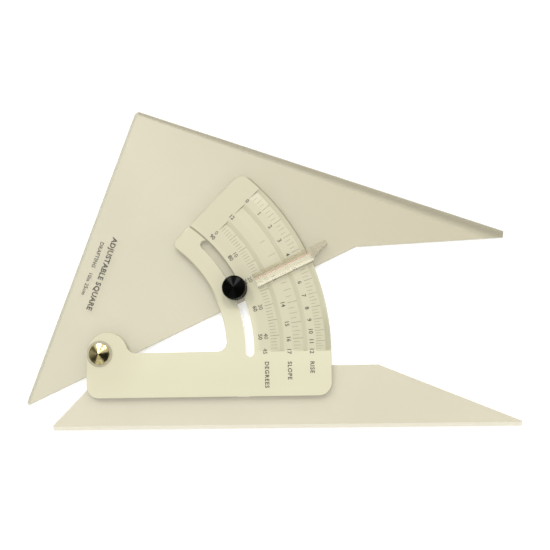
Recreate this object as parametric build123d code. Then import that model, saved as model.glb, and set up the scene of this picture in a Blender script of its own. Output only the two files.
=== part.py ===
"""Adjustable drafting set square.

Two clear blades meet on a brass pivot and open from 0 to 45 degrees. A graduated plate is bonded to the
base blade and bridges over the upper blade, whose lock stud runs in the plate's curved slot.

Millimetres, lying flat as on a drawing board, +Z up. The origin is on the pivot axis at the underside.
+X runs along the ruling edge of the base blade and +Y points across to the upper blade.
Blade shapes are drawn closed, at an opening of 0, and the upper blade is then turned to REST_OPENING.
"""

from build123d import *

import os
from math import cos, radians, sin, sqrt, tan

# Blades
LEG = 254.0                # ruling leg of the closed triangle, a 10 inch square
SHEET = 3.0                # thickness of both blades and of the plate
BASE_DEPTH = 47.0          # pivot axis to the ruling edge of the base blade
SPLIT_DROP = 9.0           # pivot axis to the line where the closed blades part
BLADE_GAP = 0.3            # clearance left between the two blades at both stops
TIP_SLOPE = 22.5           # angle of the parting line at the sharp tips
BEVEL_WIDTH = 2.4          # ruling edges are bevelled by this much across
BEVEL_DROP = 0.9           # and by this much down
EDGE_BREAK = 0.2           # polished break on every other sheet edge
HEEL_CUT = 2.5             # how far each tip is cut back along its edges
APEX_CUT = 2.0
BASE_TIP_CUT = 4.0
BASE_SHARP_TIP_CUT = 8.0
UPPER_SHARP_TIP_CUT = 10.5

# Swing
FULL_OPENING = 45.0
REST_OPENING = 24.4
INDEX_ANGLE = -0.2         # direction of the stud, the hairline and the scales' zero with the square closed

# Plate
PLATE_LIFT = 0.3           # thickness of the bonding shim, which frees the upper blade
PLATE_LEFT = -8.2
PLATE_BOTTOM = -27.5       # the bar reaches from here up to the pivot axis
PLATE_OUTER_R = 143.8
PLATE_INNER_R = 80.2
PLATE_CORNER_R = 8.0
HEAD_R = 13.0              # rounded head of the plate about the pivot
RING_OVERRUN = 15.0        # how far the ring runs past the 45 degree line
WINDOW_CORNER_R = 6.0
RING_INNER_CORNER_R = 5.0
SHIM_INSET = 1.0

# Slot and scale grooves in the plate
SLOT_R = 94.1
SLOT_WIDTH = 5.5
SLOT_SPARE = 0.3           # degrees of slot beyond each stop
GROOVES = [                # radii where each groove begins, is deepest and ends
    (106.8, 112.7, 115.4),
    (120.6, 127.0, 129.7),
    (134.4, 140.3, 143.0),
]
GROOVE_DEPTH = 1.0

# Pivot
BARREL_R = 3.0
BARREL_FLANGE_R = 5.5
BARREL_FLANGE = 1.0
RUNNING_FIT = 0.05
RECESS_GAP = 0.3
SPANNER_HOLE_R = 0.6
SPANNER_HOLE_PITCH_R = 4.2
SPANNER_HOLE_DEPTH = 0.6
PIVOT_HEAD_R = 6.6
PIVOT_HEAD = 2.3
PIVOT_CROWN = 1.8          # rise of the turned cone that tops the head
CROWN_TIP_R = 0.4          # blunt tip of the cones on the pivot head and the knob
THREAD_R = 2.0             # M4, on the pivot and on the lock stud
PIVOT_WASHER_R = 8.2
PIVOT_WASHER = 0.4
SLIP_WASHER_R = 7.0
SLIP_WASHER = 0.25

# Lock
STUD_HEAD_R = 5.0
STUD_HEAD = 1.0
STUD_HEAD_INSET = 0.2
GUIDE_R = 2.65
GUIDE_TOP_GAP = 0.15
KNOB_R = 7.4
KNOB = 9.9
KNOB_WASHER_R = 6.4
KNOB_WASHER = 0.6
CLAMP_GAP = 0.05           # running gap under the clamp washer
KNOB_RIM = 0.75            # rim round the coned top
KNOB_CROWN = 1.9
KNOB_FLUTES = 40
KNOB_FLUTE_R = 0.35
KNOB_NECK = 1.0            # plain collar under the flutes
KNOB_EDGE_R = 0.3
INSERT_R = 3.4
INSERT = 5.0
STUD_REACH = 4.6           # how far the stud reaches into the insert

# Cursor
CURSOR_LIFT = 0.3
CURSOR = 2.0
CURSOR_IN_R = 107.0
CURSOR_OUT_R = 157.0
CURSOR_FOOT_R = 144.8      # the foot starts here, just clear of the plate
CURSOR_ABOVE = 3.2         # from the hairline to the bar's upper edge
CURSOR_BELOW = 6.0         # from the hairline to the bar's lower edge
FOOT_HALF = 3.7
FOOT_STEP = 2.0
FOOT_TIP_LOW = 0.4
FOOT_TIP_HIGH = 2.9
HAIRLINE = 0.3
HAIRLINE_DEPTH = 0.15

# Heights worked out from the stack
PLATE_Z = SHEET + PLATE_LIFT
PLATE_TOP = PLATE_Z + SHEET
PIVOT_HEAD_Z = PLATE_TOP + PIVOT_WASHER
KNOB_WASHER_Z = PLATE_TOP + CLAMP_GAP
KNOB_Z = KNOB_WASHER_Z + KNOB_WASHER
CURSOR_Z = PLATE_TOP + CURSOR_LIFT

# Turns that place what moves with the upper blade, and what is counted from the scales' zero
SWING = Rot(0, 0, REST_OPENING)
INDEX = Rot(0, 0, INDEX_ANGLE)


def along(start, end, distance):
    """The point at a distance from start towards end."""
    length = sqrt((end[0] - start[0]) ** 2 + (end[1] - start[1]) ** 2)
    step = distance / length
    return (start[0] + (end[0] - start[0]) * step, start[1] + (end[1] - start[1]) * step)


def blunted(corners, cuts):
    """Outline points of a polygon whose corner i is cut off at a distance cuts[i] from the corner."""
    points = []
    for i, corner in enumerate(corners):
        before = corners[i - 1]
        after = corners[(i + 1) % len(corners)]
        if cuts[i]:
            points += [along(corner, before, cuts[i]), along(corner, after, cuts[i])]
        else:
            points.append(corner)
    return points


def rounded(sketch, corners):
    """Rounds the corners of a sketch that lie at the given places, each (x, y, radius)."""
    for x, y, radius in corners:
        corner = sketch.vertices().sort_by_distance((x, y, 0))[0]
        sketch = fillet(corner, radius)
    return sketch


def disc(radius, bottom, height):
    return Pos(0, 0, bottom) * extrude(Circle(radius), amount=height)


def ring(radius, hole_radius, bottom, height):
    return disc(radius, bottom, height) - disc(hole_radius, bottom, height)


# Corners of the two blades with the square closed. The blades part along a line tangent to the circle of
# radius SPLIT_DROP about the pivot, so the base blade meets the upper blade at both stops.
PART_DEPTH = BASE_DEPTH - SPLIT_DROP
HEEL_X = SPLIT_DROP - BASE_DEPTH * sqrt(2)
RIGHT_TIP_X = HEEL_X - PART_DEPTH + LEG * sqrt(2)
SHOULDER_X = RIGHT_TIP_X - PART_DEPTH / tan(radians(TIP_SLOPE))
HEEL = (HEEL_X, -SPLIT_DROP)
APEX = (HEEL_X - PART_DEPTH + LEG / sqrt(2), LEG / sqrt(2) - BASE_DEPTH)
UPPER_TIP = (RIGHT_TIP_X, -BASE_DEPTH)
SHOULDER = (SHOULDER_X, -SPLIT_DROP)


def base_corners():
    """Base blade: left tip, right tip, shoulder and hidden corner, set back from the upper blade."""
    drop = SPLIT_DROP + BLADE_GAP
    tip_shift = BLADE_GAP / sin(radians(TIP_SLOPE))
    shoulder_shift = BLADE_GAP * tan(radians(TIP_SLOPE / 2))
    return [
        (drop * sqrt(2) - BASE_DEPTH, -BASE_DEPTH),
        (RIGHT_TIP_X - tip_shift, -BASE_DEPTH),
        (SHOULDER_X - shoulder_shift, -drop),
        (drop * sqrt(2) - drop, -drop),
    ]


def base_outline():
    return make_face(Polyline(*blunted(base_corners(), [BASE_TIP_CUT, BASE_SHARP_TIP_CUT, 0, 0]), close=True))


def upper_outline():
    """Upper blade, closed: heel, right-angled apex, sharp tip and the reflex shoulder."""
    corners = [HEEL, APEX, UPPER_TIP, SHOULDER]
    return make_face(Polyline(*blunted(corners, [HEEL_CUT, APEX_CUT, UPPER_SHARP_TIP_CUT, 0]), close=True))


def blade_sheet(outline):
    """A blade's sheet with its edges broken above and below."""
    sheet = extrude(outline, amount=SHEET)
    levels = sheet.edges().group_by(Axis.Z)
    return chamfer(levels[0] + levels[-1], EDGE_BREAK)


def bevel_cutter(start, end):
    """Prism that bevels the ruling edge from start to end, with the sheet on the left of that way."""
    length = sqrt((end[0] - start[0]) ** 2 + (end[1] - start[1]) ** 2)
    along_x = (end[0] - start[0]) / length
    along_y = (end[1] - start[1]) / length
    across = Plane(origin=(start[0], start[1], SHEET - BEVEL_DROP),
                   x_dir=(-along_y, along_x, 0), z_dir=(along_x, along_y, 0))
    section = make_face(Polyline(
        (-BEVEL_WIDTH, -BEVEL_DROP), (2 * BEVEL_WIDTH, 2 * BEVEL_DROP), (-BEVEL_WIDTH, 2 * BEVEL_DROP),
        close=True))
    return extrude(across * section, amount=length)


def base_blade():
    left, right = base_corners()[:2]
    return blade_sheet(base_outline()) - bevel_cutter(left, right)


def upper_blade():
    """Both outer legs are bevelled. Recesses below hold the barrel's flange and the stud's head."""
    sheet = blade_sheet(upper_outline())
    sheet -= bevel_cutter(UPPER_TIP, APEX)
    sheet -= bevel_cutter(APEX, HEEL)
    sheet -= disc(BARREL_R + RUNNING_FIT, 0, SHEET)
    sheet -= disc(BARREL_FLANGE_R + RECESS_GAP, 0, BARREL_FLANGE + RECESS_GAP)
    stud_hole = disc(THREAD_R, 0, SHEET) + disc(STUD_HEAD_R, 0, STUD_HEAD + STUD_HEAD_INSET)
    sheet -= INDEX * Pos(SLOT_R, 0, 0) * stud_hole
    return SWING * sheet


def plate_outline():
    """Hook-shaped plate: a bar over the base blade, a rounded head at the pivot and the scale ring."""
    far = 2 * PLATE_OUTER_R
    turn = radians(FULL_OPENING)
    end_x = -RING_OVERRUN * sin(turn)
    end_y = RING_OVERRUN * cos(turn)
    wedge = make_face(Polyline(
        (0, 0), (far, 0), (far, far * sin(turn)),
        (end_x + far * cos(turn), end_y + far * sin(turn)), (end_x, end_y), close=True))
    ring_part = (Circle(PLATE_OUTER_R) - Circle(PLATE_INNER_R)) & wedge
    bar_length = PLATE_OUTER_R - PLATE_LEFT
    bar = Pos(PLATE_LEFT, PLATE_BOTTOM) * Rectangle(bar_length, -PLATE_BOTTOM, align=(Align.MIN, Align.MIN))
    head = Pos(PLATE_LEFT + HEAD_R, 0) * Circle(HEAD_R)
    outline = bar + ring_part + head
    outer_end = sqrt(PLATE_OUTER_R ** 2 - RING_OVERRUN ** 2)
    inner_end = sqrt(PLATE_INNER_R ** 2 - RING_OVERRUN ** 2)
    return rounded(outline, [
        (PLATE_LEFT, PLATE_BOTTOM, PLATE_CORNER_R),
        (PLATE_OUTER_R, PLATE_BOTTOM, PLATE_CORNER_R),
        (PLATE_INNER_R, 0, WINDOW_CORNER_R),
        (PLATE_LEFT + 2 * HEAD_R, 0, WINDOW_CORNER_R),
        (end_x + outer_end * cos(turn), end_y + outer_end * sin(turn), PLATE_CORNER_R),
        (end_x + inner_end * cos(turn), end_y + inner_end * sin(turn), RING_INNER_CORNER_R),
    ])


def slot_cutter():
    """Curved slot with round ends, centred on the stud's path from stop to stop."""
    sweep = FULL_OPENING + 2 * SLOT_SPARE
    section = Pos(SLOT_R, 0, 0) * Rot(90, 0, 0) * Rectangle(SLOT_WIDTH, 2 * SHEET)
    curved = revolve(Rot(0, 0, -SLOT_SPARE) * section, axis=Axis.Z, revolution_arc=sweep)
    for angle in (-SLOT_SPARE, FULL_OPENING + SLOT_SPARE):
        curved += Rot(0, 0, angle) * Pos(SLOT_R, 0, 0) * disc(SLOT_WIDTH / 2, -SHEET, 2 * SHEET)
    return INDEX * Pos(0, 0, PLATE_Z + SHEET / 2) * curved


def groove_cutter(inner, valley, outer):
    """One scale groove: a long flank that carries the graduations and a short riser outside it."""
    section = Plane.XZ * make_face(Polyline(
        (inner, PLATE_TOP), (valley, PLATE_TOP - GROOVE_DEPTH), (outer, PLATE_TOP),
        (outer, PLATE_TOP + GROOVE_DEPTH), (inner, PLATE_TOP + GROOVE_DEPTH), close=True))
    return INDEX * revolve(section, axis=Axis.Z, revolution_arc=FULL_OPENING)


def protractor_plate():
    plate = Pos(0, 0, PLATE_Z) * extrude(plate_outline(), amount=SHEET)
    plate = chamfer(plate.edges().group_by(Axis.Z)[-1], EDGE_BREAK)
    for inner, valley, outer in GROOVES:
        plate -= groove_cutter(inner, valley, outer)
    plate -= slot_cutter()
    plate -= disc(BARREL_R, PLATE_Z, SHEET)
    return plate


def bonding_shim():
    """Clear shim that bonds the plate to the base blade where the two lie over each other."""
    overlap = offset(plate_outline() & base_outline(), amount=-SHIM_INSET)
    return Pos(0, 0, SHEET) * extrude(overlap, amount=PLATE_LIFT)


def pivot_barrel():
    """Brass barrel with a flange below. The upper blade turns on it and the screw closes it on top."""
    barrel = disc(BARREL_FLANGE_R, 0, BARREL_FLANGE) + disc(BARREL_R, 0, PLATE_TOP)
    barrel -= disc(THREAD_R, BARREL_FLANGE, PLATE_TOP)
    for side in (-1, 1):
        barrel -= Pos(side * SPANNER_HOLE_PITCH_R, 0, 0) * disc(SPANNER_HOLE_R, 0, SPANNER_HOLE_DEPTH)
    return barrel


def pivot_screw():
    """Brass screw whose turned head rises as a shallow cone."""
    top = PIVOT_HEAD_Z + PIVOT_HEAD
    shoulder = top - PIVOT_CROWN
    foot = BARREL_FLANGE + RECESS_GAP
    profile = Plane.XZ * make_face(Polyline(
        (0, foot), (THREAD_R, foot), (THREAD_R, PIVOT_HEAD_Z), (PIVOT_HEAD_R, PIVOT_HEAD_Z),
        (PIVOT_HEAD_R, shoulder - EDGE_BREAK), (PIVOT_HEAD_R - EDGE_BREAK, shoulder),
        (CROWN_TIP_R, top), (0, top), close=True))
    return revolve(profile, axis=Axis.Z)


def pivot_head_washer():
    return ring(PIVOT_WASHER_R, THREAD_R, PLATE_TOP, PIVOT_WASHER)


def pivot_slip_washer():
    return ring(SLIP_WASHER_R, BARREL_R, PLATE_Z - SLIP_WASHER, SLIP_WASHER)


def at_stud(shape):
    """Moves a shape drawn about the Z axis to the lock stud, at the rest opening."""
    return SWING * INDEX * Pos(SLOT_R, 0, 0) * shape


def lock_stud():
    stud = disc(STUD_HEAD_R, STUD_HEAD_INSET, STUD_HEAD)
    stud += disc(THREAD_R, STUD_HEAD_INSET, KNOB_Z + STUD_REACH - STUD_HEAD_INSET)
    return at_stud(stud)


def slot_guide():
    return at_stud(ring(GUIDE_R, THREAD_R, SHEET, PLATE_TOP - SHEET - GUIDE_TOP_GAP))


def knob_washer():
    return at_stud(ring(KNOB_WASHER_R, THREAD_R + RUNNING_FIT, KNOB_WASHER_Z, KNOB_WASHER))


def lock_knob():
    """Moulded knob: fluted side, rounded rim and a shallow conical top."""
    top = KNOB_Z + KNOB
    shoulder = top - KNOB_CROWN
    body = disc(KNOB_R, KNOB_Z, shoulder - KNOB_Z)
    body = fillet(body.edges().group_by(Axis.Z)[-1], KNOB_EDGE_R)
    flute = disc(KNOB_FLUTE_R, KNOB_Z + KNOB_NECK, KNOB)
    for i in range(KNOB_FLUTES):
        body -= Rot(0, 0, 360 * i / KNOB_FLUTES) * Pos(KNOB_R, 0, 0) * flute
    crown = Plane.XZ * make_face(Polyline(
        (0, shoulder), (KNOB_R - KNOB_RIM, shoulder), (CROWN_TIP_R, top), (0, top), close=True))
    body += revolve(crown, axis=Axis.Z)
    body -= disc(INSERT_R, KNOB_Z, INSERT)
    return at_stud(body)


def knob_insert():
    return at_stud(ring(INSERT_R, THREAD_R + RUNNING_FIT, KNOB_Z, INSERT))


def tongue_points():
    """The cursor's outer end seen from above, radially outwards along X: it narrows to a blunt tip."""
    return [
        (CURSOR_FOOT_R + FOOT_STEP, -FOOT_HALF), (CURSOR_OUT_R, FOOT_TIP_LOW),
        (CURSOR_OUT_R, FOOT_TIP_HIGH), (CURSOR_FOOT_R, CURSOR_ABOVE),
    ]


def cursor_bar():
    """Clear bar over the scales, with the hairline groove cut along its underside."""
    outline = make_face(Polyline(
        (CURSOR_IN_R, -CURSOR_BELOW), (CURSOR_FOOT_R, -CURSOR_BELOW), *tongue_points(),
        (CURSOR_IN_R, CURSOR_ABOVE), close=True))
    bar = extrude(outline, amount=CURSOR)
    bar = chamfer(bar.edges().group_by(Axis.Z)[-1], EDGE_BREAK)
    groove_length = CURSOR_FOOT_R - CURSOR_IN_R
    groove = Box(groove_length, HAIRLINE, 2 * HAIRLINE_DEPTH, align=(Align.MIN, Align.CENTER, Align.CENTER))
    bar -= Pos(CURSOR_IN_R, 0, 0) * groove
    return SWING * INDEX * Pos(0, 0, CURSOR_Z) * bar


def cursor_foot():
    """Block outside the plate's edge that carries the bar on the upper blade."""
    outline = make_face(Polyline((CURSOR_FOOT_R, -FOOT_HALF), *tongue_points(), close=True))
    return SWING * INDEX * Pos(0, 0, SHEET) * extrude(outline, amount=CURSOR_Z - SHEET)


PARTS = {
    "base_blade": base_blade,
    "upper_blade": upper_blade,
    "bonding_shim": bonding_shim,
    "protractor_plate": protractor_plate,
    "pivot_barrel": pivot_barrel,
    "pivot_slip_washer": pivot_slip_washer,
    "pivot_head_washer": pivot_head_washer,
    "pivot_screw": pivot_screw,
    "lock_stud": lock_stud,
    "slot_guide": slot_guide,
    "knob_washer": knob_washer,
    "knob_insert": knob_insert,
    "lock_knob": lock_knob,
    "cursor_foot": cursor_foot,
    "cursor_bar": cursor_bar,
}

os.makedirs("parts", exist_ok=True)
for node, make in PARTS.items():
    shape = make()
    shape.label = node
    export_step(shape, f"parts/{node}.step")
    print(node, "volume", round(shape.volume, 1), "mm3")
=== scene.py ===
from math import acos, atan2, cos, pi, radians, sin, tan

import bmesh
import bpy
from mathutils import Matrix, Vector


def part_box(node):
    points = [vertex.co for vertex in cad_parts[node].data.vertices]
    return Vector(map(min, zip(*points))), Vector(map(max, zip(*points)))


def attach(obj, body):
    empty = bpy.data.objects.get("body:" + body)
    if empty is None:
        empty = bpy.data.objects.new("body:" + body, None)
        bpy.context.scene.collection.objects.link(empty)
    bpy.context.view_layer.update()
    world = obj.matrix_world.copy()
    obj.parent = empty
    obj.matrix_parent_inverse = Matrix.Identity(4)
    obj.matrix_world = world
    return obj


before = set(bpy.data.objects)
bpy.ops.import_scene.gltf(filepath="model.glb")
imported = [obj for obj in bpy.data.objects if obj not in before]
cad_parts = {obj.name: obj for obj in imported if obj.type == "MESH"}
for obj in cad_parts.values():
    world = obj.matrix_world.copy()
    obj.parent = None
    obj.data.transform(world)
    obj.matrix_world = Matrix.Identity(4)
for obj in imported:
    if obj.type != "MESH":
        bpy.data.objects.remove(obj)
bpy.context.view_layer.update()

# ---------------------------------------------------------------------------------------------------
# Base blade. The lower arm of the square, sawn from cast acrylic sheet with a faint cream cast.
# Its ruling edge is milled to a bevel and flame polished, and its bevel is painted lighter as painted light;
# the other edges are only broken with a scraper and are painted darker as painted shade, and the faces carry
# the fine scratches of use.


def put(tree, kind, values=None, **settings):
    """Adds a shader node, with its plain settings by name and its input values by socket name."""
    made = tree.nodes.new(kind)
    for name, value in settings.items():
        setattr(made, name, value)
    for name, value in (values or {}).items():
        made.inputs[name].default_value = value
    return made


def wire(tree, *pairs):
    """Joins output sockets to input sockets, given as pairs."""
    for start, end in pairs:
        tree.links.new(start, end)


def mask_between(tree, source, low, high, out_low=0.0, out_high=1.0):
    """A smooth ramp of a value from low to high, as an output socket."""
    ramp = put(tree, "ShaderNodeMapRange", {"From Min": low, "From Max": high, "To Min": out_low,
                                            "To Max": out_high}, interpolation_type="SMOOTHSTEP")
    wire(tree, (source, ramp.inputs["Value"]))
    return ramp.outputs["Result"]


def tint(tree, factor, base, other):
    """Mixes two colours by a factor socket; base and other are sockets or plain colours."""
    mix = put(tree, "ShaderNodeMix", data_type="RGBA")
    wire(tree, (factor, mix.inputs[0]))
    for slot_index, colour in ((6, base), (7, other)):
        if isinstance(colour, bpy.types.NodeSocket):
            wire(tree, (colour, mix.inputs[slot_index]))
        else:
            mix.inputs[slot_index].default_value = (*colour, 1.0)
    return mix.outputs[2]


def new_group(name, inputs, outputs):
    """An empty shader node group with named inputs (kind, default) and outputs (kind)."""
    tree = bpy.data.node_groups.new(name, "ShaderNodeTree")
    for label, (kind, default) in inputs.items():
        socket = tree.interface.new_socket(label, in_out="INPUT", socket_type=kind)
        socket.default_value = default
    for label, kind in outputs.items():
        tree.interface.new_socket(label, in_out="OUTPUT", socket_type=kind)
    return tree, tree.nodes.new("NodeGroupInput"), tree.nodes.new("NodeGroupOutput")


def fine_scratches():
    """Hairline scratches in two directions, as a mask: long stretched noise, of which only peaks show."""
    tree, given, result = new_group(
        "Fine scratches", {"Amount": ("NodeSocketFloat", 1.0), "Turn": ("NodeSocketFloat", 0.0)},
        {"Mark": "NodeSocketFloat"})
    place = put(tree, "ShaderNodeTexCoord")
    marks = []
    for turn, length, width in ((0.35, 28.0, 2600.0), (-0.9, 40.0, 3400.0)):
        spin = put(tree, "ShaderNodeVectorRotate", rotation_type="Z_AXIS")
        angle = put(tree, "ShaderNodeMath", {1: turn}, operation="ADD")
        stretch = put(tree, "ShaderNodeMapping", {"Scale": (length, width, 1.0)})
        grain = put(tree, "ShaderNodeTexNoise", {"Scale": 1.0, "Detail": 1.0})
        wire(tree, (given.outputs["Turn"], angle.inputs[0]), (angle.outputs[0], spin.inputs["Angle"]),
             (place.outputs["Object"], spin.inputs["Vector"]), (spin.outputs[0], stretch.inputs["Vector"]),
             (stretch.outputs[0], grain.inputs["Vector"]))
        marks.append(mask_between(tree, grain.outputs["Fac"], 0.68, 0.78))
    both = put(tree, "ShaderNodeMath", operation="MAXIMUM")
    scaled = put(tree, "ShaderNodeMath", operation="MULTIPLY")
    wire(tree, (marks[0], both.inputs[0]), (marks[1], both.inputs[1]), (both.outputs[0], scaled.inputs[0]),
         (given.outputs["Amount"], scaled.inputs[1]), (scaled.outputs[0], result.inputs["Mark"]))
    return tree


def cast_tone():
    """Colour of cast sheet: cream faces with slow clouding, and painted light and shade by facing: a tone for
    bevels and one for upright walls.
    """
    tree, given, result = new_group(
        "Cast sheet tone and edge shading",
        {"Face": ("NodeSocketColor", (0.8, 0.8, 0.6, 1)), "Cloud": ("NodeSocketColor", (0.7, 0.7, 0.5, 1)),
         "Bevel": ("NodeSocketColor", (0.5, 0.5, 0.4, 1)), "Wall": ("NodeSocketColor", (0.4, 0.4, 0.3, 1)),
         "Cloudiness": ("NodeSocketFloat", 0.5)},
        {"Color": "NodeSocketColor"})
    place = put(tree, "ShaderNodeTexCoord")
    slow = put(tree, "ShaderNodeTexNoise", {"Scale": 16.0, "Detail": 2.0, "Roughness": 0.4})
    wire(tree, (place.outputs["Object"], slow.inputs["Vector"]))
    cloud = mask_between(tree, slow.outputs["Fac"], 0.35, 0.7)
    amount = put(tree, "ShaderNodeMath", operation="MULTIPLY")
    wire(tree, (cloud, amount.inputs[0]), (given.outputs["Cloudiness"], amount.inputs[1]))
    faces = tint(tree, amount.outputs[0], given.outputs["Face"], given.outputs["Cloud"])
    geometry = put(tree, "ShaderNodeNewGeometry")
    split = put(tree, "ShaderNodeSeparateXYZ")
    upright = put(tree, "ShaderNodeMath", operation="ABSOLUTE")
    wire(tree, (geometry.outputs["True Normal"], split.inputs[0]), (split.outputs["Z"], upright.inputs[0]))
    # Tones by facing: bevels and upright walls are tinted as painted light and painted shade.
    bevel = mask_between(tree, upright.outputs[0], 0.975, 0.945)
    wall_shading = mask_between(tree, upright.outputs[0], 0.85, 0.6)
    bevel_shaded = tint(tree, bevel, faces, given.outputs["Bevel"])
    wire(tree, (tint(tree, wall_shading, bevel_shaded, given.outputs["Wall"]), result.inputs["Color"]))
    return tree


SCRATCHES = fine_scratches()
SHEET_TONE = cast_tone()
SHEET_INDEX = 1.49
SCRATCH_DEPTH = 0.000004   # metres


def new_material(name, **values):
    """A material with its shader; returns the material, its tree and the shader."""
    made = bpy.data.materials.new(name)
    made.use_nodes = True
    shader = made.node_tree.nodes["Principled BSDF"]
    for label, value in values.items():
        shader.inputs[label.replace("_", " ")].default_value = value
    return made, made.node_tree, shader


def add_group(tree, group, **values):
    """Places a node group with its input values."""
    made = put(tree, "ShaderNodeGroup", node_tree=group)
    for label, value in values.items():
        made.inputs[label].default_value = (*value, 1.0) if isinstance(value, tuple) else value
    return made


def relief(tree, shader, height, distance):
    """Fine surface relief from a height socket; distance is its depth in metres."""
    bump = put(tree, "ShaderNodeBump", {"Distance": distance, "Strength": 1.0})
    wire(tree, (height, bump.inputs["Height"]), (bump.outputs["Normal"], shader.inputs["Normal"]))


def acrylic(name, face, cloud, bevel, wall_shading, opacity, turn=0.0, gloss=0.5, zones=(), wall_light_zone=None):
    """Cream cast acrylic, polished on its faces, with painted light and shade on its bevels and walls. Each
    zone is a mask maker with the tone it brings; several of them paint light or shade.
    """
    made, tree, shader = new_material(name, Alpha=opacity, IOR=SHEET_INDEX, Specular_IOR_Level=gloss)
    tone = add_group(tree, SHEET_TONE, Face=face, Cloud=cloud, Bevel=bevel, Wall=wall_shading, Cloudiness=0.6)
    surfaces = {"Face": face, "Cloud": cloud, "Bevel": bevel}
    for make_mask, zone_tone in zones:
        mask = make_mask(tree)
        surfaces = {part: tint(tree, mask, colour, zone_tone) for part, colour in surfaces.items()}
    if zones:
        wire(tree, *((colour, tone.inputs[part]) for part, colour in surfaces.items()))
    if wall_light_zone:
        make_mask, zone_tone = wall_light_zone
        wire(tree, (tint(tree, make_mask(tree), wall_shading, zone_tone), tone.inputs["Wall"]))
    marks = add_group(tree, SCRATCHES, Amount=1.0, Turn=turn)
    wire(tree, (tone.outputs["Color"], shader.inputs["Base Color"]),
         (mask_between(tree, marks.outputs["Mark"], 0.0, 1.0, 0.14, 0.42), shader.inputs["Roughness"]))
    relief(tree, shader, marks.outputs["Mark"], -SCRATCH_DEPTH)
    return made


def finish_node(name, material):
    """Gives a CAD node its finish in place of the one it came with."""
    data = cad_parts[name].data
    data.materials.clear()
    data.materials.append(material)


# The lighter bevel tone is painted light and the darker wall tone is painted shade.
finish_node("base_blade", acrylic("Base acrylic", face=(0.57, 0.523, 0.375), cloud=(0.54, 0.495, 0.355),
                                  bevel=(0.72, 0.68, 0.545), wall_shading=(0.34, 0.31, 0.19), opacity=0.5))

# ---------------------------------------------------------------------------------------------------
# Upper blade. The swinging triangle, sawn from the same sheet; both outer legs are bevelled.
# Plain words are screened on it in dark ink, reading down along the left leg.

MM = 0.001
REST_OPENING = 24.4        # degrees
LONG_LEG_OUT = 45.0        # way that the long leg's edge faces with the square closed, in degrees
LONG_LEG_AT = 153.3 * MM   # distance from the pivot to that edge
LONG_LEG_ENDS = (-210 * MM, 34 * MM)
SHADE_WIDTHS = (5.0 * MM, 1.6 * MM)   # of the band along that leg, at its two ends
SHORT_LEG_OUT = 135.0
SHORT_LEG_AT = 34.3 * MM
EDGE_SHADE_LINE = 0.9 * MM       # dark line just inside the short leg's edge
TIP_FADE = (60 * MM, 220 * MM)        # where the deeper tone of the narrow end begins and is full


def turned_place(tree, angle):
    """Object coordinates turned back by an angle in degrees, as separate X and Y sockets."""
    place = put(tree, "ShaderNodeTexCoord")
    turned = put(tree, "ShaderNodeVectorRotate", {"Angle": -radians(angle)}, rotation_type="Z_AXIS")
    split = put(tree, "ShaderNodeSeparateXYZ")
    wire(tree, (place.outputs["Object"], turned.inputs["Vector"]), (turned.outputs[0], split.inputs[0]))
    return split.outputs["X"], split.outputs["Y"]


def long_leg_shade(tree):
    """The darker band that shows in the sheet along the long leg, wider towards the sharp tip."""
    out, along = turned_place(tree, REST_OPENING + LONG_LEG_OUT)
    width = put(tree, "ShaderNodeMapRange", {"From Min": LONG_LEG_ENDS[0], "From Max": LONG_LEG_ENDS[1],
                                             "To Min": SHADE_WIDTHS[0], "To Max": SHADE_WIDTHS[1]})
    inset = put(tree, "ShaderNodeMath", {0: LONG_LEG_AT}, operation="SUBTRACT")
    share = put(tree, "ShaderNodeMath", operation="DIVIDE")
    wire(tree, (along, width.inputs["Value"]), (out, inset.inputs[1]), (inset.outputs[0], share.inputs[0]),
         (width.outputs["Result"], share.inputs[1]))
    return mask_between(tree, share.outputs[0], 1.75, 0.55)


def toward_tip(tree):
    """The long narrow end of the blade, which reads a little deeper in tone."""
    return mask_between(tree, turned_place(tree, REST_OPENING)[0], *TIP_FADE)


def short_leg_line(tree):
    """The thin dark line of the short leg's edge, painted shade."""
    out = turned_place(tree, REST_OPENING + SHORT_LEG_OUT)[0]
    return mask_between(tree, out, SHORT_LEG_AT - 1.6 * EDGE_SHADE_LINE, SHORT_LEG_AT - 0.7 * EDGE_SHADE_LINE)


# Painted shade here: the darker band along the long leg, the thin dark line at the short leg's edge, and the
# darker bevels and walls.
finish_node("upper_blade", acrylic(
    "Upper acrylic", face=(0.52, 0.482, 0.335), cloud=(0.48, 0.447, 0.31), bevel=(0.485, 0.45, 0.31),
    wall_shading=(0.36, 0.335, 0.215), opacity=0.5, turn=0.42,
    zones=((toward_tip, (0.445, 0.402, 0.255)), (long_leg_shade, (0.22, 0.19, 0.09)),
           (short_leg_line, (0.29, 0.27, 0.15)))))

INK_THICK = 0.02 * MM
INK_LIFT = 0.004 * MM      # clearance between the sheet and the underside of the ink
CAP_SHARE = 0.73           # height of the type's capitals as a share of its size
INK_RELIEF = 0.000003      # metres


def worn_ink(name, dark, light):
    """Screened ink: matt, a little uneven where it has rubbed thin."""
    made, tree, shader = new_material(name, Roughness=0.65)
    place = put(tree, "ShaderNodeTexCoord")
    speckle = put(tree, "ShaderNodeTexNoise", {"Scale": 1400.0, "Detail": 3.0})
    wire(tree, (place.outputs["Object"], speckle.inputs["Vector"]))
    worn = mask_between(tree, speckle.outputs["Fac"], 0.42, 0.66)
    wire(tree, (tint(tree, worn, dark, light), shader.inputs["Base Color"]))
    relief(tree, shader, speckle.outputs["Fac"], INK_RELIEF)
    return made


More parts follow.
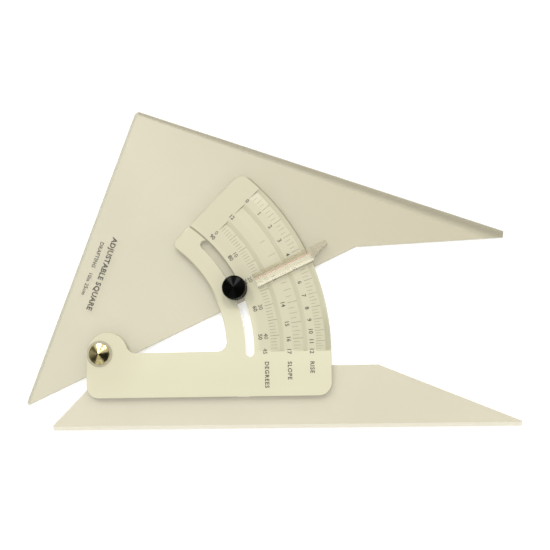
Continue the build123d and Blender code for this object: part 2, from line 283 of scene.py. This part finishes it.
def letters(words, cap_height, spread=1.0, weight=0.0):
    """A thin mesh of the given words, centred, with capitals of the given height."""
    curve = bpy.data.curves.new("type", "FONT")
    curve.body = words
    curve.size = cap_height / CAP_SHARE
    curve.space_character = spread
    curve.offset = weight
    curve.align_x = "CENTER"
    curve.align_y = "CENTER"
    curve.resolution_u = 2
    curve.extrude = INK_THICK / 2
    holder = bpy.data.objects.new("type", curve)
    bpy.context.scene.collection.objects.link(holder)
    bpy.context.view_layer.update()
    mesh = bpy.data.meshes.new_from_object(holder.evaluated_get(bpy.context.evaluated_depsgraph_get()))
    bpy.data.objects.remove(holder)
    bpy.data.curves.remove(curve)
    return mesh


def add_letters(bm, words, cap_height, matrix, spread=1.0, weight=0.0):
    """Puts words into a bmesh, at a place given by a matrix."""
    mesh = letters(words, cap_height, spread, weight)
    mesh.transform(matrix)
    bm.from_mesh(mesh)
    bpy.data.meshes.remove(mesh)


def new_piece(name, bm, material, body):
    """Turns a bmesh in the frame into a finished piece that rides on a body."""
    bmesh.ops.recalc_face_normals(bm, faces=bm.faces)
    mesh = bpy.data.meshes.new(name)
    bm.to_mesh(mesh)
    bm.free()
    mesh.materials.append(material)
    piece = bpy.data.objects.new(name, mesh)
    bpy.context.scene.collection.objects.link(piece)
    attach(piece, body)
    return piece


DARK_INK = worn_ink("Dark screened ink", (0.035, 0.03, 0.02), (0.12, 0.11, 0.08))
PALE_INK = worn_ink("Pale screened ink", (0.09, 0.08, 0.055), (0.22, 0.21, 0.16))

blade_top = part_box("upper_blade")[1].z
HEEL = Vector((-57.5, -9.0, 0)) * MM            # the blade's left tip with the square closed
LEG_TURN = radians(45)                          # direction of the left leg with the square closed
swing = Matrix.Rotation(radians(REST_OPENING), 4, "Z")
leg = Vector((cos(LEG_TURN), sin(LEG_TURN), 0))
inward = Vector((sin(LEG_TURN), -cos(LEG_TURN), 0))
TITLE_SPREAD = 1.05
TITLE_LINES = [   # words, then in mm the distance along the leg and in from it, capital height, weight
    ("ADJUSTABLE SQUARE", 94.3, 16.8, 3.5, 0.15),
    ("DRAFTING   10in 25cm", 95.6, 9.8, 2.5, 0.08),
]
for number, (words, run, inset, cap, weight) in enumerate(TITLE_LINES):
    spot = HEEL + (leg * run + inward * inset) * MM
    spot.z = blade_top + INK_LIFT + INK_THICK / 2
    bm = bmesh.new()
    add_letters(bm, words, cap * MM, swing @ Matrix.Translation(spot)
                @ Matrix.Rotation(LEG_TURN + pi, 4, "Z"), TITLE_SPREAD, weight * MM)
    new_piece(f"blade_lettering_{number + 1}", bm, DARK_INK, "blade")

# ---------------------------------------------------------------------------------------------------
# Bonding shim. A thin clear film of solvent-bonded acrylic between the base blade and the plate, which
# leaves the upper blade free to slide underneath.

finish_node("bonding_shim", acrylic("Bonded film", face=(0.86, 0.82, 0.63), cloud=(0.83, 0.79, 0.60),
                                    bevel=(0.8, 0.77, 0.6), wall_shading=(0.6, 0.57, 0.42), opacity=0.35, turn=1.3))

# ---------------------------------------------------------------------------------------------------
# Protractor plate. Hook-shaped acrylic plate with a curved slot; three shallow grooves are milled on
# arcs about the pivot, and each groove's long flank carries a row of screened graduations.

INDEX_ANGLE = -0.2         # direction of the scales' zero, in degrees
FULL_OPENING = 45
plate_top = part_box("protractor_plate")[1].z
GROOVE_FALL = 1.0 * MM     # depth of a groove where its flank ends
FLANKS = {                 # radii of each flank: where it leaves the face, and where it is deepest
    "degree": (106.8 * MM, 112.7 * MM),
    "slope": (120.6 * MM, 127.0 * MM),
    "rise": (134.4 * MM, 140.3 * MM),
}
OVERLAP_TURN = 12          # slope of the overlap with the blade at rest, in degrees
OVERLAP_FADE = (-12 * MM, 48 * MM)
FIELD_FADE = (97 * MM, 102 * MM)      # radii between which the graduated field begins
FIELD_FOOT = (-1 * MM, 1 * MM)        # its lower end, above the names of the scales
LAND_FADE = (140.0 * MM, 140.8 * MM)  # radii between which the outermost land begins
LAND_TOP = (28 * MM, 12 * MM)
SLOT_INSIDE = (90 * MM, 91 * MM)      # just inside the slot's inner wall
SLOT_OUTSIDE = (98 * MM, 97.2 * MM)   # just outside its outer wall
HEAD_FADE = (34 * MM, 12 * MM)        # distances from the pivot
LINE_TURN = 20             # slope of the foot of the ring's dark lines, in degrees
LINE_FOOT = (0, 16 * MM)
# The ring's dark edge lines are painted shade.
RING_SHADE_LINES = (             # radii of the dark lines along the ring's upper edges, and their tone
    (143.1 * MM, 144 * MM, (0.25, 0.24, 0.16)),
    (96.7 * MM, 97.5 * MM, (0.25, 0.24, 0.16)),
    (80 * MM, 81 * MM, (0.33, 0.31, 0.21)),
)


def from_pivot(tree):
    """Level distance from the pivot axis, as a socket."""
    place = put(tree, "ShaderNodeTexCoord")
    level = put(tree, "ShaderNodeVectorMath", {1: (1, 1, 0)}, operation="MULTIPLY")
    distance = put(tree, "ShaderNodeVectorMath", operation="LENGTH")
    wire(tree, (place.outputs["Object"], level.inputs[0]), (level.outputs[0], distance.inputs[0]))
    return distance.outputs["Value"]


def product(tree, *factors):
    """Product of sockets."""
    total = factors[0]
    for factor in factors[1:]:
        step = put(tree, "ShaderNodeMath", operation="MULTIPLY")
        wire(tree, (total, step.inputs[0]), (factor, step.inputs[1]))
        total = step.outputs[0]
    return total


def over_blade(tree):
    """The part of the plate's ring that lies over the upper blade, where the sheet reads darker."""
    return mask_between(tree, turned_place(tree, OVERLAP_TURN)[1], *OVERLAP_FADE, 0.0, 0.75)


def scale_field(tree):
    """The ring's graduated field, a shade deeper than the bar."""
    return product(tree, mask_between(tree, from_pivot(tree), *FIELD_FADE),
                   mask_between(tree, turned_place(tree, 0)[1], *FIELD_FOOT, 0.0, 0.8))


def outer_land(tree):
    """The ring's outermost land beside its lower graduations, painted darker as painted shade along the
    sheet's edge.
    """
    height = turned_place(tree, 0)[1]
    return product(tree, mask_between(tree, from_pivot(tree), *LAND_FADE),
                   mask_between(tree, height, *FIELD_FOOT), mask_between(tree, height, *LAND_TOP))


def in_slot(tree):
    """The walls of the curved slot, sawn and flame polished, painted near white as painted light that
    brightens the slot.
    """
    radius = from_pivot(tree)
    return product(tree, mask_between(tree, radius, *SLOT_INSIDE), mask_between(tree, radius, *SLOT_OUTSIDE))


def round_pivot(tree):
    """The plate's head, which takes on the tone of the blade below it."""
    return mask_between(tree, from_pivot(tree), *HEAD_FADE)


def ring_line(inner, outer):
    """Maker of a mask for the painted dark line of shade along one of the ring's upper edges, between two
    radii.
    """
    def make_mask(tree):
        radius = from_pivot(tree)
        upper = mask_between(tree, turned_place(tree, LINE_TURN)[1], *LINE_FOOT)
        return product(tree, mask_between(tree, radius, inner - 0.5 * MM, inner + 0.2 * MM),
                       mask_between(tree, radius, outer + 0.5 * MM, outer - 0.2 * MM), upper)
    return make_mask


# Painted shade on the plate: the darker risers and walls, the outermost land and the dark lines along the
# ring's edges; painted light: the near-white slot walls.
finish_node("protractor_plate", acrylic(
    "Plate acrylic", face=(0.603, 0.58, 0.42), cloud=(0.582, 0.558, 0.404), bevel=(0.44, 0.415, 0.29),
    wall_shading=(0.45, 0.425, 0.30), opacity=0.88, turn=0.8, gloss=0.18, wall_light_zone=(in_slot, (0.95, 0.92, 0.78)),
    zones=((scale_field, (0.50, 0.48, 0.345)), (over_blade, (0.53, 0.497, 0.362)),
           (round_pivot, (0.57, 0.535, 0.39)),
           (outer_land, (0.42, 0.40, 0.28)),
           *((ring_line(inner, outer), tone) for inner, outer, tone in RING_SHADE_LINES))))

TICK_INSET = 0.4 * MM      # from the top of a flank to its graduations
TICK = 0.18 * MM
LONG_TICK = 0.24 * MM
FIGURE = 2.6 * MM
FIGURE_WEIGHT = 0.07 * MM


def polar(radius, angle, height):
    """Matrix that puts a shape drawn along X at the origin at a radius and scale angle in degrees."""
    return (Matrix.Rotation(radians(angle + INDEX_ANGLE), 4, "Z")
            @ Matrix.Translation((radius, 0, height)))


def add_tick(bm, scale, angle, length, width):
    """One graduation: a thin bar of ink lying on a groove's flank."""
    top_r, deep_r = FLANKS[scale]
    fall = atan2(GROOVE_FALL, deep_r - top_r)
    middle = top_r + TICK_INSET + length / 2
    height = plate_top - (middle - top_r) * tan(fall) + INK_LIFT + INK_THICK / 2
    bar = Matrix.Diagonal((length / cos(fall), width, INK_THICK, 1))
    bmesh.ops.create_cube(bm, size=1.0,
                          matrix=polar(middle, angle, height) @ Matrix.Rotation(fall, 4, "Y") @ bar)


def add_figure(bm, words, radius, angle):
    """A figure beside a graduation, reading down the ring."""
    height = plate_top + INK_LIFT + INK_THICK / 2
    add_letters(bm, words, FIGURE, polar(radius, angle, height) @ Matrix.Rotation(-pi / 2, 4, "Z"),
                weight=FIGURE_WEIGHT)


# Degrees: one graduation each degree, read both ways
bm = bmesh.new()
for degree in range(FULL_OPENING + 1):
    fifth = degree % 5 == 0
    add_tick(bm, "degree", degree, (5.4 if fifth else 3.8) * MM, LONG_TICK if fifth else TICK)
new_piece("degree_graduations", bm, PALE_INK, "base")

inner_row = bmesh.new()
outer_row = bmesh.new()
add_figure(outer_row, str(FULL_OPENING), 103.4 * MM, 0)
for degree in range(5, FULL_OPENING + 1, 10):
    add_figure(inner_row, str(FULL_OPENING + degree), 100.9 * MM, degree)
    add_figure(outer_row, str(FULL_OPENING - degree), 104.4 * MM, degree)
new_piece("degree_figures_inner", inner_row, DARK_INK, "base")
new_piece("degree_figures_outer", outer_row, PALE_INK, "base")

# Slope: the sloping length, in inches, for each 12 inches of level run
RUN = 12
LONGEST = 17               # sloping length at the foot of the scale, rounded up
TICK_LENGTHS = {           # of a whole inch, a half and a quarter, in mm
    "slope": (6.0, 4.8, 3.6),
    "rise": (5.4, 4.3, 3.2),
}


def slope_angle(length):
    """Place of a sloping length on the scale, in degrees from its foot."""
    return FULL_OPENING - acos(min(RUN / length, 1.0)) * 180 / pi


def add_inch_tick(bm, scale, quarter, angle):
    """The graduation of a number of quarter inches, longest on the whole inch."""
    rank = 0 if quarter % 4 == 0 else 1 if quarter % 2 == 0 else 2
    add_tick(bm, scale, angle, TICK_LENGTHS[scale][rank] * MM, TICK if rank else LONG_TICK)


bm = bmesh.new()
for quarter in range(4 * RUN, 4 * LONGEST + 1):
    if slope_angle(quarter / 4) >= 0:
        add_inch_tick(bm, "slope", quarter, slope_angle(quarter / 4))
new_piece("slope_graduations", bm, PALE_INK, "base")
bm = bmesh.new()
for inches in range(LONGEST, RUN - 1, -1):
    length = min(inches, RUN / cos(radians(FULL_OPENING)))
    add_figure(bm, str(inches), 118.2 * MM, slope_angle(length))
new_piece("slope_figures", bm, DARK_INK, "base")

# Rise: the rise, in inches, for each 12 inches of level run
bm = bmesh.new()
for quarter in range(4 * RUN + 1):
    add_inch_tick(bm, "rise", quarter, FULL_OPENING - atan2(quarter / 4, RUN) * 180 / pi)
new_piece("rise_graduations", bm, PALE_INK, "base")
bm = bmesh.new()
for rise in range(RUN + 1):
    add_figure(bm, str(rise), 132.0 * MM, FULL_OPENING - atan2(rise, RUN) * 180 / pi)
new_piece("rise_figures", bm, DARK_INK, "base")

# Names of the scales, reading down below the foot of each row
NAME_SPREAD = 1.15
NAME_WEIGHT = 0.09 * MM
bm = bmesh.new()
for words, x, y in (("DEGREES", 104.4, -14.5), ("SLOPE", 118.4, -12.2), ("RISE", 132.1, -10.4)):
    spot = Vector((x * MM, y * MM, plate_top + INK_LIFT + INK_THICK / 2))
    add_letters(bm, words, FIGURE, Matrix.Translation(spot) @ Matrix.Rotation(-pi / 2, 4, "Z"),
                NAME_SPREAD, NAME_WEIGHT)
new_piece("scale_names", bm, DARK_INK, "base")

# ---------------------------------------------------------------------------------------------------
# Pivot. A turned brass barrel and screw clamp the joint; natural nylon washers lie under the head and
# between the plate and the blade. The head is faced on a lathe, so fine rings run round it.

RING_PITCH = 0.22 * MM     # of the lathe's marks
RING_DEPTH = 0.0000025     # metres
NYLON_RELIEF = 0.000006    # metres
NYLON_INDEX = 1.53
FACED_BRASS = (0.44, 0.38, 0.19)
FACED_SHADE = (0.28, 0.23, 0.09)
BRASS = (0.78, 0.65, 0.35)
BRASS_SHADE = (0.55, 0.44, 0.20)


def turned_metal(name, colour, shade, centre):
    """Turned brass with fine rings about an upright axis through the given centre."""
    made, tree, shader = new_material(name, Metallic=1.0)
    place = put(tree, "ShaderNodeTexCoord")
    shift = put(tree, "ShaderNodeMapping", {"Location": (-centre.x, -centre.y, 0)})
    split = put(tree, "ShaderNodeSeparateXYZ")
    flat = put(tree, "ShaderNodeCombineXYZ")
    distance = put(tree, "ShaderNodeVectorMath", operation="LENGTH")
    wire(tree, (place.outputs["Object"], shift.inputs["Vector"]), (shift.outputs[0], split.inputs[0]),
         (split.outputs["X"], flat.inputs["X"]), (split.outputs["Y"], flat.inputs["Y"]),
         (flat.outputs[0], distance.inputs[0]))
    turns = put(tree, "ShaderNodeMath", {1: 2 * pi / RING_PITCH}, operation="MULTIPLY")
    rings = put(tree, "ShaderNodeMath", operation="SINE")
    tarnish = put(tree, "ShaderNodeTexNoise", {"Scale": 420.0, "Detail": 4.0})
    wire(tree, (distance.outputs["Value"], turns.inputs[0]), (turns.outputs[0], rings.inputs[0]),
         (place.outputs["Object"], tarnish.inputs["Vector"]))
    dull = mask_between(tree, tarnish.outputs["Fac"], 0.4, 0.7)
    wire(tree, (tint(tree, dull, colour, shade), shader.inputs["Base Color"]),
         (mask_between(tree, tarnish.outputs["Fac"], 0.3, 0.75, 0.10, 0.22), shader.inputs["Roughness"]))
    relief(tree, shader, rings.outputs[0], RING_DEPTH)
    return made


def nylon(name, colour, shade, opacity=1.0):
    """Moulded nylon: soft sheen, faint mottling."""
    made, tree, shader = new_material(name, Alpha=opacity, IOR=NYLON_INDEX)
    place = put(tree, "ShaderNodeTexCoord")
    mottle = put(tree, "ShaderNodeTexNoise", {"Scale": 900.0, "Detail": 3.0})
    wire(tree, (place.outputs["Object"], mottle.inputs["Vector"]),
         (tint(tree, mottle.outputs["Fac"], colour, shade), shader.inputs["Base Color"]),
         (mask_between(tree, mottle.outputs["Fac"], 0.3, 0.7, 0.35, 0.5), shader.inputs["Roughness"]))
    relief(tree, shader, mottle.outputs["Fac"], NYLON_RELIEF)
    return made


pivot_centre = Vector((0, 0, 0))
finish_node("pivot_screw", turned_metal("Faced brass", FACED_BRASS, FACED_SHADE, pivot_centre))
finish_node("pivot_barrel", turned_metal("Barrel brass", BRASS, BRASS_SHADE, pivot_centre))
finish_node("pivot_head_washer", nylon("Clear nylon", (0.66, 0.61, 0.44), (0.61, 0.56, 0.40), 0.4))
finish_node("pivot_slip_washer", nylon("Slip nylon", (0.84, 0.80, 0.64), (0.76, 0.72, 0.56), 0.45))

# ---------------------------------------------------------------------------------------------------
# Lock. A brass stud pressed through the upper blade runs in the slot inside a nylon sleeve. The knob,
# moulded in gloss black with a brass insert, screws down on a black washer to clamp the opening.

BLACK_SHINE = 0.03
PEEL_DEPTH = 0.000008      # metres


def moulded_black(name, colour, rubbed, gloss):
    """Black moulding: gloss skin with fine orange-peel, and grey where the edges have rubbed."""
    made, tree, shader = new_material(name, Specular_IOR_Level=BLACK_SHINE)
    place = put(tree, "ShaderNodeTexCoord")
    peel = put(tree, "ShaderNodeTexNoise", {"Scale": 700.0, "Detail": 2.0})
    geometry = put(tree, "ShaderNodeNewGeometry")
    wire(tree, (place.outputs["Object"], peel.inputs["Vector"]))
    edge = mask_between(tree, geometry.outputs["Pointiness"], 0.53, 0.66)
    wire(tree, (tint(tree, edge, colour, rubbed), shader.inputs["Base Color"]),
         (mask_between(tree, peel.outputs["Fac"], 0.3, 0.7, gloss, gloss + 0.08), shader.inputs["Roughness"]))
    relief(tree, shader, peel.outputs["Fac"], PEEL_DEPTH)
    return made


stud_low, stud_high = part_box("lock_stud")
stud_centre = (stud_low + stud_high) / 2
stud_brass = turned_metal("Stud brass", BRASS, BRASS_SHADE, stud_centre)
finish_node("lock_stud", stud_brass)
finish_node("knob_insert", stud_brass)
finish_node("slot_guide", nylon("Sleeve nylon", (0.86, 0.84, 0.76), (0.78, 0.76, 0.68)))
finish_node("knob_washer", moulded_black("Washer black", (0.012, 0.012, 0.012), (0.03, 0.03, 0.03), 0.4))
finish_node("lock_knob", moulded_black("Knob black", (0.0015, 0.0016, 0.0012), (0.006, 0.006, 0.005), 0.12))

# ---------------------------------------------------------------------------------------------------
# Cursor. A clear bar reaches from a block on the upper blade over all three scales; a fine groove
# along its underside is filled with red paint and reads against the graduations.

HAIRLINE_TURN = REST_OPENING + INDEX_ANGLE
TONGUE_FADE = (143 * MM, 147 * MM)    # where the bar passes over the plate's edge
STRIP_FADE = 0.3 * MM
# Painted strips: a tan band of painted shade above the hairline, a bright strip of painted light below it and
# a dark line of painted shade under that.
LIGHT_AND_SHADE_STRIPS = (                 # along the bar: distances off the hairline, and the tone the sheet shows there
    (0.1 * MM, 4 * MM, (0.42, 0.36, 0.215)),
    (-5.4 * MM, -3.6 * MM, (1.0, 0.97, 0.78)),
    (-6.4 * MM, -5.3 * MM, (0.04, 0.035, 0.02)),
)


def across_bar(low, high):
    """Maker of a mask for a strip of painted light and shade along the bar over the plate, between two
    distances off the hairline.
    """
    def make_mask(tree):
        out, across = turned_place(tree, HAIRLINE_TURN)
        return product(tree, mask_between(tree, across, low, low + STRIP_FADE),
                       mask_between(tree, across, high, high - STRIP_FADE),
                       mask_between(tree, out, *reversed(TONGUE_FADE)))
    return make_mask


def beyond_plate(tree):
    """The tongue of the bar beyond the plate's edge, where only the blade lies below."""
    return mask_between(tree, turned_place(tree, HAIRLINE_TURN)[0], *TONGUE_FADE)


cursor_clear = acrylic("Cursor acrylic", face=(0.84, 0.79, 0.61), cloud=(0.80, 0.75, 0.58),
                       bevel=(0.80, 0.75, 0.58), wall_shading=(0.20, 0.18, 0.11), opacity=0.25, turn=0.2, gloss=0.3,
                       zones=((beyond_plate, (0.50, 0.45, 0.31)),
                              *((across_bar(low, high), tone) for low, high, tone in LIGHT_AND_SHADE_STRIPS)))
foot_clear = acrylic("Cursor foot acrylic", face=(0.47, 0.42, 0.28), cloud=(0.45, 0.40, 0.27),
                     bevel=(0.47, 0.42, 0.28), wall_shading=(0.40, 0.36, 0.23), opacity=0.2, turn=0.2, gloss=0.3)
finish_node("cursor_bar", cursor_clear)
finish_node("cursor_foot", foot_clear)


def red_paint():
    """Red paint wiped into the groove, a little uneven."""
    made, tree, shader = new_material("Hairline paint", Roughness=0.5)
    place = put(tree, "ShaderNodeTexCoord")
    uneven = put(tree, "ShaderNodeTexNoise", {"Scale": 600.0, "Detail": 2.0})
    wire(tree, (place.outputs["Object"], uneven.inputs["Vector"]),
         (tint(tree, uneven.outputs["Fac"], (0.42, 0.012, 0.008), (0.55, 0.04, 0.025)),
          shader.inputs["Base Color"]))
    return made


cursor_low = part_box("cursor_bar")[0].z
HAIRLINE_WIDTH = 0.29 * MM
HAIRLINE_DEPTH = 0.12 * MM
SPREAD_WIDTH = 0.5 * MM    # the paint left on the underside, either side of the groove
SPREAD_THICK = 0.03 * MM
PAINT_ROUNDING = 0.008 * MM
HAIRLINE_START = 107.2 * MM
HAIRLINE_END = 144.6 * MM
bm = bmesh.new()
for width, thick, height in ((HAIRLINE_WIDTH, HAIRLINE_DEPTH, cursor_low + HAIRLINE_DEPTH / 2 + INK_LIFT),
                             (SPREAD_WIDTH, SPREAD_THICK, cursor_low - SPREAD_THICK / 2 - INK_LIFT)):
    shape = Matrix.Diagonal((HAIRLINE_END - HAIRLINE_START, width, thick, 1))
    place = polar((HAIRLINE_START + HAIRLINE_END) / 2, 0, height)
    bmesh.ops.create_cube(bm, size=1.0, matrix=swing @ place @ shape)
bmesh.ops.bevel(bm, geom=bm.edges[:], offset=PAINT_ROUNDING, affect="EDGES", segments=2, profile=0.5,
                material=-1)
new_piece("hairline_paint", bm, red_paint(), "blade")

# ---------------------------------------------------------------------------------------------------
# Studio. A plain white board lit a little from below, two soft boxes above the far side, an even white
# surround with a few dark places in it, and a camera looking almost straight down.

BOARD_REACH = 4.0          # metres from its middle to its sides
BOARD_DROP = 0.05 * MM     # the board's face lies this much below the square
BOARD_GLOW = 0.42          # strength of the light that it gives
bm = bmesh.new()
bmesh.ops.create_grid(bm, x_segments=1, y_segments=1, size=BOARD_REACH,
                      matrix=Matrix.Translation((0.1, 0, -BOARD_DROP)))
board_mesh = bpy.data.meshes.new("board")
bm.to_mesh(board_mesh)
bm.free()
board_material, board_tree, board_shader = new_material("White board", Roughness=0.8,
                                                        Specular_IOR_Level=0.1)
board_place = put(board_tree, "ShaderNodeTexCoord")
board_grain = put(board_tree, "ShaderNodeTexNoise", {"Scale": 300.0, "Detail": 2.0})
wire(board_tree, (board_place.outputs["Object"], board_grain.inputs["Vector"]),
     (tint(board_tree, board_grain.outputs["Fac"], (0.69, 0.69, 0.685), (0.71, 0.71, 0.708)),
      board_shader.inputs["Base Color"]))
board_shader.inputs["Emission Color"].default_value = (1.0, 1.0, 0.99, 1.0)
board_shader.inputs["Emission Strength"].default_value = BOARD_GLOW
board_mesh.materials.append(board_material)
board = bpy.data.objects.new("board", board_mesh)
bpy.context.scene.collection.objects.link(board)

SURROUND_STRENGTH = 1.36
world = bpy.data.worlds.new("surround")
world.use_nodes = True
sky = world.node_tree
surround = sky.nodes["Background"]
sky_place = put(sky, "ShaderNodeTexCoord")
DARK_PLACES = [   # azimuth and angle off overhead in degrees, cosines where it begins and is full, tone
    (178, 50, 0.93, 0.97, 0.40),
    (-38, 20, 0.905, 0.95, 0.02),
    (206, 44, 0.965, 0.985, 0.03),
    (152, 48, 0.985, 0.993, 0.03),
]


def toward(azimuth, off_overhead):
    """Unit vector toward a place overhead, from its azimuth and angle off overhead in degrees."""
    turn = radians(azimuth)
    lean = radians(off_overhead)
    return Vector((cos(turn) * sin(lean), sin(turn) * sin(lean), cos(lean)))


surround_tone = (1.0, 1.0, 1.0)
for azimuth, off_overhead, begins, full, tone in DARK_PLACES:
    aimed = put(sky, "ShaderNodeVectorMath", {1: toward(azimuth, off_overhead)}, operation="DOT_PRODUCT")
    wire(sky, (sky_place.outputs["Generated"], aimed.inputs[0]))
    surround_tone = tint(sky, mask_between(sky, aimed.outputs["Value"], begins, full),
                         surround_tone, (tone, tone, tone))
wire(sky, (surround_tone, surround.inputs["Color"]))
surround.inputs["Strength"].default_value = SURROUND_STRENGTH
bpy.context.scene.world = world

BOX_AIM = Vector((0.1, 0.02, 0))      # the middle of the square, in metres
BOX_DISTANCE = 1.8
BOX_WIDTH = 0.36
BOX_POWER = 8.7            # watts


def soft_box(name, azimuth, off_overhead):
    """A square area light aimed at the middle of the square."""
    away = toward(azimuth, off_overhead)
    lamp = bpy.data.lights.new(name, "AREA")
    lamp.shape = "SQUARE"
    lamp.size = BOX_WIDTH
    lamp.energy = BOX_POWER
    holder = bpy.data.objects.new(name, lamp)
    holder.location = BOX_AIM + away * BOX_DISTANCE
    holder.rotation_mode = "QUATERNION"
    holder.rotation_quaternion = away.to_track_quat("Z", "Y")
    bpy.context.scene.collection.objects.link(holder)


soft_box("far left box", 124, 40)
soft_box("far right box", 78, 34)

CAMERA_AT = (0.1635, -0.0146, 0.5411)
CAMERA_TURNS = ((-0.94, "Z"), (5.78, "Y"), (6.37, "X"))   # degrees, from looking straight down
camera_data = bpy.data.cameras.new("camera")
camera_data.sensor_width = 36.0
camera_data.lens = 57.6
camera = bpy.data.objects.new("camera", camera_data)
aim = Matrix.Translation(CAMERA_AT)
for degrees_turned, axis in CAMERA_TURNS:
    aim = aim @ Matrix.Rotation(radians(degrees_turned), 4, axis)
camera.matrix_world = aim
bpy.context.scene.collection.objects.link(camera)
bpy.context.scene.camera = camera
bpy.context.scene.view_settings.view_transform = "Standard"
